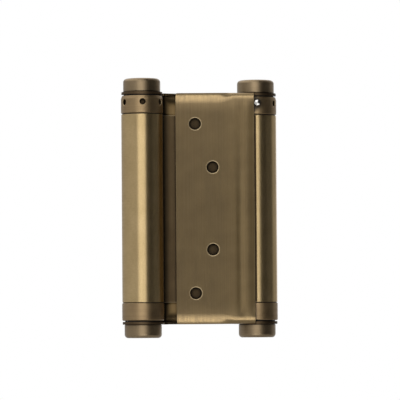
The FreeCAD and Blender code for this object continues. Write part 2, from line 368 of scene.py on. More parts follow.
class Blank:
    """A workpiece in millimetres, on its own barrel's axis."""

    GRAIN_MAP = "grain"
    # Name of the map of painted shade that a mesh carries.
    PAINTED_SHADE_MAP = "grime"
    BODY_FACES = 0
    EDGE_FACES = 1
    # Shaded and rim faces take darker copies of the brass, as painted shade.
    SHADED_FACES = 2
    RIM_FACES = 3

    # Distances at which points count as one, as on an edge, or as too close after a cut.
    SAME_POINT = 1e-4
    ON_EDGE = 1e-3
    CUT_WELD = 0.004
    CUT_SLIVER = 0.002

    # Slopes of a cutter's faces, and the angle that still counts as a straight line.
    WALL_SLOPE = 0.1
    FLOOR_SLOPE = 0.99
    STRAIGHT = math.radians(5.0)

    MOUTH_TURN = math.radians(75.0)
    LIP_SLOPE = math.radians(9.0)
    GRAIN_PITCH = 100.0
    NORMAL_WEIGHT = 70

    def __init__(self) -> None:
        """Start with an empty mesh."""
        self.bm = bmesh.new()

    @classmethod
    def turned(cls, profile: Profile, hollow: bool = False, steps: int = 128) -> "Blank":
        """Turn a profile about the upright axis.

        Args:
            profile: Points as (radius, height), from the foot round to the top.
            hollow: Whether the profile closes on itself round a bore.
            steps: Number of flats round the piece.

        Returns:
            The round blank.
        """
        blank = cls()
        verts = [blank.bm.verts.new((radius, 0.0, height)) for radius, height in profile]
        ends = verts[1:] + verts[:1] if hollow else verts[1:]
        edges = [blank.bm.edges.new(pair) for pair in zip(verts, ends)]
        bmesh.ops.spin(
            blank.bm, geom=verts + edges, cent=(0, 0, 0), axis=(0, 0, 1),
            angle=math.tau, steps=steps, use_merge=True,
        )
        blank.close_up()
        return blank

    def close_up(self) -> None:
        """Merge doubled points and turn all faces outwards."""
        bmesh.ops.remove_doubles(self.bm, verts=self.bm.verts, dist=self.SAME_POINT)
        bmesh.ops.recalc_face_normals(self.bm, faces=self.bm.faces)

    def wear_slopes(self, wall: int = BODY_FACES) -> "Blank":
        """Mark the slanted faces of an upright cutter, so that the mouth it leaves looks worn, with a
        painted highlight.

        Args:
            wall: Kind of face that the hole's wall and floor become.

        Returns:
            The blank itself.
        """
        for face in self.bm.faces:
            slanted = self.WALL_SLOPE < abs(face.normal.z) < self.FLOOR_SLOPE
            face.material_index = self.EDGE_FACES if slanted else wall
        return self

    def round_ring(self, radius: float, height: float, width: float, segments: int) -> None:
        """Round or chamfer one turned edge.

        Args:
            radius: The edge's radius.
            height: The edge's height.
            width: How far the rounding reaches from the edge.
            segments: Steps across the rounding; one makes a chamfer.
        """
        def on_ring(vert: bmesh.types.BMVert) -> bool:
            """Tell whether a point lies on the edge."""
            aside, above = vert.co.xy.length - radius, vert.co.z - height
            return max(abs(aside), abs(above)) < self.ON_EDGE

        ring = [edge for edge in self.bm.edges if all(on_ring(vert) for vert in edge.verts)]
        bmesh.ops.bevel(
            self.bm, geom=ring, offset=width, affect="EDGES",
            segments=segments, profile=0.5, material=-1,
        )

    def move(self, matrix: Matrix) -> "Blank":
        """Move the whole blank and keep its faces pointing outwards.

        Args:
            matrix: The move.

        Returns:
            The blank itself.
        """
        bmesh.ops.transform(self.bm, matrix=matrix, verts=self.bm.verts)
        if matrix.determinant() < 0:
            bmesh.ops.reverse_faces(self.bm, faces=self.bm.faces)
        return self

    def scratch_object(self) -> bpy.types.Object:
        """Put the mesh into a scratch object.

        Returns:
            The object, which modifiers can work on.
        """
        mesh = bpy.data.meshes.new("blank")
        for _ in range(self.RIM_FACES + 1):
            mesh.materials.append(None)
        self.bm.to_mesh(mesh)
        scratch = bpy.data.objects.new("blank", mesh)
        bpy.context.scene.collection.objects.link(scratch)
        return scratch

    def through(self, kind: str, **settings: object) -> None:
        """Send the mesh through one modifier.

        Args:
            kind: The modifier's type.
            **settings: The modifier's own settings.
        """
        scratch = self.scratch_object()
        modifier = scratch.modifiers.new("step", kind)
        for name, value in settings.items():
            setattr(modifier, name, value)
        graph = bpy.context.evaluated_depsgraph_get()
        shaped = bpy.data.meshes.new_from_object(scratch.evaluated_get(graph))
        self.bm.clear()
        self.bm.from_mesh(shaped)
        old = scratch.data
        bpy.data.objects.remove(scratch)
        bpy.data.meshes.remove(old)
        bpy.data.meshes.remove(shaped)

    def combine(self, other: "Blank", operation: str) -> None:
        """Cut another blank out of this one, or weld it on.

        Args:
            other: The cutter or the added piece, which is used up.
            operation: DIFFERENCE to cut, UNION to weld.
        """
        tool = other.scratch_object()
        self.through("BOOLEAN", object=tool, operation=operation, solver="EXACT")
        mesh = tool.data
        bpy.data.objects.remove(tool)
        bpy.data.meshes.remove(mesh)
        bmesh.ops.remove_doubles(self.bm, verts=self.bm.verts, dist=self.CUT_WELD)
        bmesh.ops.dissolve_degenerate(self.bm, edges=self.bm.edges, dist=self.CUT_SLIVER)

    def break_edges(self, width: float, angle: float = 40.0, worn: bool = True) -> None:
        """Break every sharp edge.

        Args:
            width: Width of the break.
            angle: Least fold, in degrees, that counts as sharp.
            worn: Whether the broken edges take the worn finish, which is wear and a painted highlight.
        """
        self.through(
            "BEVEL", width=width, segments=2, limit_method="ANGLE", angle_limit=math.radians(angle),
            use_clamp_overlap=False, material=self.EDGE_FACES if worn else -1,
        )

    def drop_midpoints(self) -> None:
        """Dissolve the points part way along a straight edge that hold no other edge."""
        idle = [
            vert for vert in self.bm.verts
            if len(vert.link_edges) == 2 and vert.calc_edge_angle(math.pi) < self.STRAIGHT
        ]
        bmesh.ops.dissolve_verts(self.bm, verts=idle)

    @classmethod
    def rounded_mouth(
        cls, radius: float, face: float, rounding: float, lip: float = 0.0, steps: int = 4,
    ) -> Profile:
        """Draw the mouth of a hole cutter, which leaves the hole's edge rounded.

        Args:
            radius: The hole's radius.
            face: Height of the face that the hole opens in.
            rounding: Radius of the rounded edge.
            lip: Width of the shallow cone outside the rounded edge.
            steps: Steps round the edge.

        Returns:
            Profile points from the hole's wall up past the face.
        """
        sunk = lip * math.tan(cls.LIP_SLOPE)
        points = []
        for step in range(steps + 1):
            turn = cls.MOUTH_TURN * step / steps
            depth = sunk + rounding * (1.0 - math.sin(turn))
            points.append((radius + rounding * (1.0 - math.cos(turn)), face - depth))
        # The last step runs on past the face, so that it cuts clean through.
        (near, low), (far, high) = points[-2:]
        if lip:
            points.append((far + 2.0 * lip, face + sunk))
        else:
            points.append((far + 2.0 * (far - near), high + 2.0 * (high - low)))
        return points

    def lay_grain(self, barrels: list[Vector], reach: float) -> None:
        """Write the map along which the surface lines are laid.

        Args:
            barrels: Barrel axes in millimetres that faces may wrap round.
            reach: Distance from such an axis within which a face wraps round it.
        """
        layer = self.bm.loops.layers.uv.new(self.GRAIN_MAP)
        for face in self.bm.faces:
            middle = face.calc_center_median()
            near = [axis for axis in barrels if (middle - axis).xy.length < reach]
            for loop in face.loops:
                across = loop.vert.co.x
                if near:
                    ray = (loop.vert.co - near[0]).xy
                    out = (middle - near[0]).xy
                    across = reach * (out.angle_signed(ray, 0.0) if ray.length and out.length else 0.0)
                loop[layer].uv = (across / self.GRAIN_PITCH, loop.vert.co.z / self.GRAIN_PITCH)

    def lay_grime(self, rule: Callable[[Vector, Vector], float]) -> None:
        """Write the painted shade at each point.

        Args:
            rule: Gives the share of painted shade from a point's place and normal.
        """
        layer = self.bm.verts.layers.float.new(self.PAINTED_SHADE_MAP)
        self.bm.normal_update()
        for vert in self.bm.verts:
            vert[layer] = rule(vert.co, vert.normal)

    def finish(
        self, name: str, place: Matrix, materials: list[bpy.types.Material], crease: float = 35.0,
    ) -> bpy.types.Object:
        """Turn the blank into a finished object in the frame.

        Args:
            name: The piece's name.
            place: Move from the blank's millimetres to metres in the frame.
            materials: Finishes of the body, edge, shaded and rim faces, as far as there are such.
            crease: Least fold, in degrees, that is shaded as a sharp edge.

        Returns:
            The object, at the origin, with its place in its mesh.
        """
        self.move(place)
        meets = [len({face.material_index for face in edge.link_faces}) > 1 for edge in self.bm.edges]
        mesh = bpy.data.meshes.new(name)
        self.bm.to_mesh(mesh)
        self.bm.free()
        for material in materials:
            mesh.materials.append(material)
        mesh.shade_smooth()
        mesh.set_sharp_from_angle(angle=math.radians(crease))
        # The shading doesn't run across the line where two finishes meet.
        for edge, two_finishes in zip(mesh.edges, meets):
            edge.use_edge_sharp = edge.use_edge_sharp or two_finishes
        piece = bpy.data.objects.new(name, mesh)
        bpy.context.scene.collection.objects.link(piece)
        weigh = piece.modifiers.new("weigh", "WEIGHTED_NORMAL")
        weigh.keep_sharp = True
        weigh.weight = self.NORMAL_WEIGHT
        graph = bpy.context.evaluated_depsgraph_get()
        piece.data = bpy.data.meshes.new_from_object(piece.evaluated_get(graph))
        piece.modifiers.clear()
        bpy.data.meshes.remove(mesh)
        piece.data.name = name
        return piece


@dataclass(frozen=True)
class BrassShop:
    """The finishes of the hinge."""

    barrel: MetalFinish = MetalFinish(
        "polished_barrel_brass", bright=(0.70, 0.52, 0.27), dull=(0.50, 0.355, 0.165), roughness=0.38,
        grain=Grain.ROUND, lines_per_mm=1.6, line_depth_mm=0.0006, anisotropy=0.9,
        recess_reach_mm=6.0, recess_shut=0.4, lacquer=0.1,
    )
    leaf: MetalFinish = MetalFinish(
        "brushed_leaf_brass", bright=(0.445, 0.30, 0.118), dull=(0.256, 0.165, 0.063), roughness=0.34,
        grain=Grain.UPRIGHT, lines_per_mm=2.4, line_depth_mm=0.002, anisotropy=0.76,
        line_share=0.4, lacquer=1.0, lacquer_roughness=0.25,
    )
    inside: MetalFinish = MetalFinish(
        "shaded_inside_brass", bright=(0.41, 0.278, 0.125), dull=(0.235, 0.153, 0.066), roughness=0.4,
        grain=Grain.UPRIGHT, lines_per_mm=2.4, line_depth_mm=0.003, anisotropy=0.6,
        recess=(0.008, 0.006, 0.004), lacquer=0.0,
    )
    # A dark copy of the brass, as painted shade on rim ends, ear sides and bar holes.
    rim: MetalFinish = MetalFinish(
        "dark_rim_brass", bright=(0.15, 0.10, 0.055), dull=(0.07, 0.05, 0.03), roughness=0.45,
        grain=Grain.UPRIGHT, lines_per_mm=2.0, line_depth_mm=0.002, anisotropy=0.0,
        recess=(0.010, 0.008, 0.006), lacquer=0.0,
    )
    strip: MetalFinish = MetalFinish(
        "shaded_strip_brass", bright=(0.19, 0.131, 0.068), dull=(0.105, 0.07, 0.036), roughness=0.45,
        grain=Grain.UPRIGHT, lines_per_mm=2.0, line_depth_mm=0.003, anisotropy=0.5,
        recess=(0.010, 0.008, 0.006),
        recess_reach_mm=4.0, recess_shut=0.42, lacquer=0.0,
    )
    cap: MetalFinish = MetalFinish(
        "turned_cap_brass", bright=(0.40, 0.293, 0.168), dull=(0.24, 0.17, 0.094), roughness=0.42,
        grain=Grain.ROUND, lines_per_mm=1.6, line_depth_mm=0.004, anisotropy=0.4,
        line_share=0.4,
    )
    collar: MetalFinish = MetalFinish(
        "turned_collar_brass", bright=(0.46, 0.322, 0.165), dull=(0.27, 0.172, 0.085), roughness=0.45,
        grain=Grain.ROUND, lines_per_mm=1.6, line_depth_mm=0.0025, anisotropy=0.4,
        recess_reach_mm=5.0, recess_shut=0.4,
    )
    # Worn edges, lighter both from wear and from a painted highlight.
    worn: MetalFinish = MetalFinish(
        "worn_edge_brass", bright=(0.66, 0.51, 0.29), dull=(0.46, 0.34, 0.18), roughness=0.5,
        grain=Grain.UPRIGHT, lines_per_mm=3.0, line_depth_mm=0.001, anisotropy=0.0,
        recess_share=0.2,
    )
    pin: MetalFinish = MetalFinish(
        "bright_pin_steel", bright=(0.70, 0.68, 0.65), dull=(0.42, 0.40, 0.38), roughness=0.22,
        grain=Grain.ROUND, lines_per_mm=3.0, line_depth_mm=0.004, anisotropy=0.0,
    )
    spindle: MetalFinish = MetalFinish(
        "ground_spindle_steel", bright=(0.58, 0.57, 0.56), dull=(0.36, 0.35, 0.34), roughness=0.25,
        grain=Grain.ROUND, lines_per_mm=6.0, line_depth_mm=0.001, anisotropy=0.0,
    )
    spring: MetalFinish = MetalFinish(
        "oiled_spring_steel", bright=(0.22, 0.22, 0.225), dull=(0.09, 0.085, 0.08), roughness=0.3,
        grain=Grain.ROUND, lines_per_mm=2.0, line_depth_mm=0.002, anisotropy=0.0,
    )
    washer: MouldedFinish = MouldedFinish(
        "black_washer_nylon", colour=(0.012, 0.012, 0.012), roughness=0.6, grains_per_mm=6.0,
    )


SHOP = BrassShop()


def hand_over(piece: bpy.types.Object, body: str, node: str) -> None:
    """Put a finished piece in its node's place on its body.

    Args:
        piece: The finished piece.
        body: CAD body that it rides on.
        node: CAD node that it stands for.
    """
    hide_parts(node)
    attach(piece, body)
    LOG.info("%s: %d faces, rides on %s", piece.name, len(piece.data.polygons), body)


@dataclass
class CentreWeb:
    """One strip rolled into a tube along each edge, on opposite faces."""

    tube_radius: float = 8.9
    thickness: float = 1.2
    roll_angle: float = 322.0
    seam: float = 0.25
    edge_break: float = 0.16
    # Painted shade on the flat strip, in the corners beside the tubes and behind the leaves.
    corner_grime: float = 0.8
    grime_reach: float = 13.0
    covered_grime: float = 0.2
    covered_from: float = 15.0
    covered_to: float = 18.0
    roll_steps: int = 96
    plate_steps: int = 48

    def grime(self, place: Vector, axis: float) -> float:
        """Give the painted shade on the flat strip: in the corner beside each tube, and where the leaves
        cover it.

        Args:
            place: Point of the web.
            axis: Distance of the tubes' axes from the middle.

        Returns:
            The share of grime.
        """
        from_axis = axis - abs(place.x)
        if abs(place.y) > self.thickness or from_axis < self.tube_radius - self.thickness:
            return 0.0
        covered = self.covered_grime * smooth_step(self.covered_from, self.covered_to, from_axis)
        in_corner = place.x * place.y > 0
        corner = self.corner_grime * smooth_step(self.grime_reach, self.tube_radius, from_axis)
        return covered + (corner if in_corner else 0.0)

    def build(self) -> None:
        """Roll both tubes from the plate, thicken the strip and dress it."""
        low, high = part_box("centre_web")
        axes = {side: side.axis() / MM for side in Side}
        blank = Blank()
        start = axes[Side.JAMB]
        plate = [
            blank.bm.verts.new((start.x, 0.0, low.z / MM + self.seam)),
            blank.bm.verts.new((start.x, 0.0, high.z / MM)),
        ]
        edge = blank.bm.edges.new(plate)
        roll = {"axis": (0, 0, 1), "angle": math.radians(self.roll_angle), "steps": self.roll_steps}
        bmesh.ops.spin(blank.bm, geom=plate + [edge], cent=start, **roll)
        pitch = (axes[Side.DOOR].x - start.x) / self.plate_steps
        for _ in range(self.plate_steps):
            grown = bmesh.ops.extrude_edge_only(blank.bm, edges=[edge])["geom"]
            plate = [item for item in grown if isinstance(item, bmesh.types.BMVert)]
            edge = next(item for item in grown if isinstance(item, bmesh.types.BMEdge))
            bmesh.ops.translate(blank.bm, verts=plate, vec=(pitch, 0.0, 0.0))
        bmesh.ops.spin(blank.bm, geom=plate + [edge], cent=axes[Side.DOOR], **roll)
        blank.close_up()
        blank.through("SOLIDIFY", thickness=self.thickness, offset=0.0, use_even_offset=True)
        blank.break_edges(self.edge_break)
        blank.lay_grain(list(axes.values()), self.tube_radius + self.thickness)
        # The flat strip takes the darker strip finish, as painted shade between the tubes and the leaves.
        for face in blank.bm.faces:
            middle = face.calc_center_median()
            flat = abs(middle.x) < axes[Side.DOOR].x and abs(middle.y) < self.thickness
            if not flat:
                face.material_index = Blank.BODY_FACES
            elif face.material_index == Blank.BODY_FACES:
                face.material_index = Blank.SHADED_FACES
        blank.lay_grime(lambda place, normal: self.grime(place, axes[Side.DOOR].x))
        materials = [SHOP.barrel.material(), SHOP.worn.material(), SHOP.strip.material()]
        piece = blank.finish("rolled_web", Matrix.Scale(MM, 4), materials)
        hand_over(piece, "web", "centre_web")


@dataclass
class Leaf:
    """A pressed plate with rolled rims, and an ear over each end of its barrel."""

    # Parts of a face's normal: up or down at most, and outwards at most.
    EDGE_ON = 0.2
    FACING_IN = -0.5

    side: Side
    thickness: float = 1.2
    outer_face: float = 10.5
    edge_offset: float = 0.8
    half_height: float = 50.0
    rim_lead_radius: float = 30.0
    rim_lead_angle: float = 6.5
    rim_radius: float = 6.0
    rim_angle: float = 20.0
    shoulder_depth: float = 0.28
    shoulder_height: float = 9.0
    ear_lead_radius: float = 18.0
    top_lead_angle: float = 4.0
    bottom_lead_angle: float = 5.0
    top_bend_radius: float = 1.6
    bottom_bend_radius: float = 2.2
    ear_radius: float = 8.8
    fold: float = 10.0
    blend_reach: float = 7.0
    corner_radius: float = 0.8
    corner_reach: float = 6.0
    valley_across: float = 7.0
    valley_width: float = 1.5
    valley_depth: float = 0.3
    valley_full: float = -10.0
    valley_top: float = 40.0
    valley_fade: float = 0.75
    dish_end: float = 2.5
    crown_overrun: float = 0.6
    crown_width: float = 3.4
    crown_fall: float = 0.42
    hole_radius: float = 2.5
    hole_rounding: float = 0.25
    hole_lip: float = 0.22
    sink_depth: float = 0.6
    outer_hole: tuple[float, float] = (26.4, 36.6)
    inner_hole: tuple[float, float] = (18.9, 17.8)
    cut_clearance: float = 1.0
    edge_break: float = 0.14
    # Painted shade: inside beside the barrel and under the rims, and lightly over the outer face but for
    # its barrel edge.
    grime_from: float = 9.3
    grime_to: float = 12.6
    rim_grime: float = 0.85
    rim_shade_start: float = 6.0
    rim_shade_full: float = 3.5
    face_grime: float = 0.14
    ear_columns: int = 28
    columns: int = 120
    flat_rows: int = 80
    bend_rows: int = 24
    hole_steps: int = 64

    def __post_init__(self) -> None:
        """Read the free edge's distance from the axis off the frame, and divide up the blank."""
        low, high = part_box(self.side.node("leaf"))
        axis = self.side.axis()
        self.reach = max(high.x - axis.x, axis.x - low.x) / MM
        self.ear_share = self.ear_columns / self.columns
        self.rows = self.flat_rows + 2 * self.bend_rows

    def section(self, bends: list[tuple[float, float]], v: float) -> Vector:
        """Follow the leaf's outer face up its flat and round the bends at its end.

        Args:
            bends: Outer radius and end angle of each bend, one after the other.
            v: Place up the blank, from -1 at the bottom to 1 at the top.

        Returns:
            How far the face stands back there, and its height above mid height.
        """
        starts = [0.0] + [angle for _, angle in bends[:-1]]
        lengths = [radius * (end - start) for start, (radius, end) in zip(starts, bends)]
        heights = [
            radius * (math.sin(end) - math.sin(start)) for start, (radius, end) in zip(starts, bends)
        ]
        flat_end = self.half_height - sum(heights)
        flat_share = self.flat_rows / self.rows
        back, rise = 0.0, min(abs(v) / flat_share, 1.0) * flat_end
        walked = max(abs(v) - flat_share, 0.0) / (1.0 - flat_share) * sum(lengths)
        for start, length, (radius, _) in zip(starts, lengths, bends):
            turn = start + min(max(walked, 0.0), length) / radius
            back += radius * (math.cos(start) - math.cos(turn))
            rise += radius * (math.sin(turn) - math.sin(start))
            walked -= length
        return Vector((back, rise))

    def dish(self, across: float, height: float) -> float:
        """Give how far the plate stands back from its flat face, over the barrel.

        Args:
            across: Distance from the barrel's axis.
            height: Height above mid height.

        Returns:
            The set-back: a shallow valley, which dies out upwards, and a fall to the edge.
        """
        faded = self.valley_fade * smooth_step(self.valley_full, self.valley_top, height)
        depth = self.valley_depth * (1.0 - faded)
        valley = depth * math.exp(-(((across - self.valley_across) / self.valley_width) ** 2))
        crown_start = self.edge_offset - self.crown_overrun
        crown_end = self.edge_offset + self.crown_width
        fall = (1.0 - smooth_step(crown_start, crown_end, across)) * self.crown_fall
        return valley + fall

    def press(self, u: float, v: float) -> Vector:
        """Press one point of the flat blank into the leaf's outer face.

        Args:
            u: Share of the way from the barrel's edge to the free edge.
            v: Place up the blank, from -1 at the bottom to 1 at the top.

        Returns:
            The pressed point.
        """
        if u <= self.ear_share:
            across = self.edge_offset + (self.ear_radius - self.edge_offset) * u / self.ear_share
        else:
            free = (u - self.ear_share) / (1.0 - self.ear_share)
            across = self.ear_radius + (self.reach - self.ear_radius) * free
        past_fold = min(max((across - self.fold) / self.blend_reach, 0.0), 1.0)
        share = 1.0 - (1.0 - past_fold) ** 2
        bend_radius = self.top_bend_radius if v > 0 else self.bottom_bend_radius
        lead_angle = self.top_lead_angle if v > 0 else self.bottom_lead_angle
        lead = (self.ear_lead_radius, math.radians(lead_angle))
        ear = self.section([lead, (bend_radius, math.pi / 2)], v)
        rim_lead = (self.rim_lead_radius, math.radians(self.rim_lead_angle))
        rim = self.section([rim_lead, (self.rim_radius, math.radians(self.rim_angle))], v)
        back, rise = ear.lerp(rim, share)
        from_end = self.half_height - rise
        dish = self.dish(across, math.copysign(rise, v))
        back += dish * smooth_step(self.dish_end, self.shoulder_height, from_end)
        shoulder = max(1.0 - from_end / self.shoulder_height, 0.0) ** 2
        back += self.shoulder_depth * shoulder
        past = max(rise - (self.half_height - self.corner_radius), 0.0)
        corner = self.corner_radius - math.sqrt(max(self.corner_radius ** 2 - past ** 2, 0.0))
        across -= corner * smooth_step(self.reach - self.corner_reach, self.reach, across)
        return Vector((across, self.outer_face - back, math.copysign(rise, v)))

    def sheet(self) -> Blank:
        """Press the plate, fold its ears over and give it its thickness.

        Returns:
            The leaf before its holes are made.
        """
        blank = Blank()
        grid = bmesh.ops.create_grid(blank.bm, x_segments=self.columns, y_segments=self.rows, size=1.0)
        ear_edge = self.ear_share * 2.0 - 1.0 + Blank.SAME_POINT

        def at_ear_end(vert: bmesh.types.BMVert, end: End) -> bool:
            """Tell whether a point of the flat grid is on the end that an ear grows from."""
            return abs(vert.co.y - end.value) < Blank.SAME_POINT and vert.co.x < ear_edge

        ends = [
            [edge for edge in blank.bm.edges if all(at_ear_end(vert, end) for vert in edge.verts)]
            for end in End
        ]
        for vert in grid["verts"]:
            vert.co = self.press((vert.co.x + 1.0) / 2.0, vert.co.y)
        for edges in ends:
            grown = bmesh.ops.extrude_edge_only(blank.bm, edges=edges)["geom"]
            for vert in (item for item in grown if isinstance(item, bmesh.types.BMVert)):
                vert.co.y = 0.0
        bmesh.ops.recalc_face_normals(blank.bm, faces=blank.bm.faces)
        front = Vector((self.reach / 2, self.outer_face, 0.0))
        middle = min(blank.bm.faces, key=lambda face: (face.calc_center_median() - front).length)
        if middle.normal.y < 0:
            bmesh.ops.reverse_faces(blank.bm, faces=blank.bm.faces)
        blank.through("SOLIDIFY", thickness=self.thickness, offset=-1.0, use_even_offset=True)
        # The valley and the crown are pressed into the outer face alone.
        inner_face = self.outer_face - self.thickness
        for vert in blank.bm.verts:
            if abs(vert.co.z) < self.half_height - self.shoulder_height:
                vert.co.y = max(vert.co.y, inner_face)
        top, under = self.half_height, self.half_height - self.thickness
        for end in End:
            disc = Blank.turned([
                (0.0, under), (self.ear_radius, under), (self.ear_radius, top), (0.0, top),
            ])
            disc.move(end.mirror())
            blank.combine(disc, "UNION")
        return blank

    def hole_cutter(self, across: float, height: float) -> Blank:
        """Make the cutter of one screw hole, countersunk from the inner face.

        Args:
            across: The hole's distance from the barrel's axis.
            height: The hole's height.

        Returns:
            The cutter.
        """
        inner = self.outer_face - self.thickness
        sunk = self.hole_radius + self.sink_depth
        mouth = Blank.rounded_mouth(self.hole_radius, self.outer_face, self.hole_rounding, self.hole_lip)
        start = inner - self.cut_clearance
        cutter = Blank.turned([
            (0.0, start), (sunk, start), (sunk, inner), (self.hole_radius, inner + self.sink_depth),
            *mouth, (0.0, mouth[-1][1]),
        ], steps=self.hole_steps)
        upright = Matrix.Rotation(-math.pi / 2, 4, "X")
        return cutter.wear_slopes().move(Matrix.Translation((across, 0.0, height)) @ upright)

    def grime(self, place: Vector, normal: Vector) -> float:
        """Give the painted shade: even on the face but for its barrel edge, and thick inside, in the
        corners and under the rims.

        Args:
            place: Point of the leaf.
            normal: The surface's direction there.

        Returns:
            The share of grime.
        """
        # Painted shade over the outer face, left off towards the barrel edge.
        if normal.y > 0:
            unshaded = 1.0 - smooth_step(self.ear_radius, self.ear_radius + self.blend_reach, place.x)
            unshaded *= smooth_step(self.dish_end, self.shoulder_height, self.half_height - abs(place.z))
            return self.face_grime * (1.0 - unshaded)
        if place.x < self.grime_from and abs(place.z) > self.half_height - self.thickness:
            return 0.0
        beside = 1.0 - smooth_step(self.grime_from, self.grime_to, place.x)
        from_end = self.half_height - abs(place.z)
        under = self.rim_grime * smooth_step(self.rim_shade_start, self.rim_shade_full, from_end)
        return max(beside, under)

    def sort_faces(self, blank: Blank) -> None:
        """Tell the brushed face from the shaded inside and the rims and ear edges, which take a dark finish
        as painted shade.

        Args:
            blank: The leaf with its edges broken.
        """
        bend_end = self.outer_face - self.bottom_bend_radius
        for face in blank.bm.faces:
            middle = face.calc_center_median()
            at_end = abs(middle.z) > self.half_height - self.thickness - self.edge_break
            off_bend = middle.y < bend_end or middle.x < self.edge_offset
            ear_side = at_end and off_bend and abs(face.normal.z) < self.EDGE_ON
            if ear_side or (at_end and face.material_index == Blank.EDGE_FACES):
                face.material_index = Blank.RIM_FACES
            elif face.normal.y < self.FACING_IN and face.material_index == Blank.BODY_FACES:
                face.material_index = Blank.SHADED_FACES

    def build(self) -> None:
        """Press the leaf, drill it, break its edges and dress it."""
        blank = self.sheet()
        holes = [self.outer_hole, self.inner_hole]
        holes += [(across, -height) for across, height in reversed(holes)]
        for across, height in holes:
            blank.combine(self.hole_cutter(across, height), "DIFFERENCE")
        blank.break_edges(self.edge_break)
        blank.drop_midpoints()
        self.sort_faces(blank)
        blank.lay_grain([], 0.0)
        blank.lay_grime(self.grime)
        materials = [finish.material() for finish in (SHOP.leaf, SHOP.worn, SHOP.inside, SHOP.rim)]
        piece = blank.finish(self.side.node("pressed_leaf"), self.side.place(), materials)
        hand_over(piece, self.side.node("side"), self.side.node("leaf"))


@dataclass
class EndFittings:
    """The cap and the wear washer at one end of a barrel."""

    side: Side
    end: End
    cap_radius: float = 8.0
    cap_height: float = 5.8
    cap_seat: float = 50.0
    cap_fillet: float = 1.6
    fillet_steps: int = 8
    foot_chamfer: float = 0.3
    washer_radius: float = 7.8
    washer_bore: float = 3.05
    washer_top: float = 48.8
    washer_thickness: float = 0.4
    washer_break: float = 0.06

    def cap(self) -> None:
        """Turn the cap, with a rounded rim and a chamfered foot."""
        top = self.cap_seat + self.cap_height
        blank = Blank.turned([
            (0.0, self.cap_seat), (self.cap_radius, self.cap_seat),
            (self.cap_radius, top), (0.0, top),
        ])
        blank.round_ring(self.cap_radius, top, self.cap_fillet, self.fillet_steps)
        blank.round_ring(self.cap_radius, self.cap_seat, self.foot_chamfer, segments=1)
        blank.lay_grain([Vector()], self.cap_radius * 2)
        blank.move(self.end.mirror())
        name = self.end.node("cap")
        materials = [SHOP.cap.material(self.side.axis())]
        piece = blank.finish(self.side.node(f"turned_{name}"), self.side.place(), materials)
        hand_over(piece, self.side.node("side"), self.side.node(name))

    def washer(self) -> None:
        """Make the washer between the ear and the collar."""
        foot = self.washer_top - self.washer_thickness
        blank = Blank.turned([
            (self.washer_bore, foot), (self.washer_radius, foot),
            (self.washer_radius, self.washer_top), (self.washer_bore, self.washer_top),
        ], hollow=True)
        blank.break_edges(self.washer_break)
        blank.lay_grain([Vector()], self.washer_radius * 2)
        blank.move(self.end.mirror())
        name = self.end.node("washer")
        materials = [SHOP.washer.material()] * 2
        piece = blank.finish(self.side.node(f"wear_{name}"), self.side.place(), materials)
        hand_over(piece, self.side.node("side"), self.side.node(name))

    def build(self) -> None:
        """Make both fittings."""
        self.cap()
        self.washer()


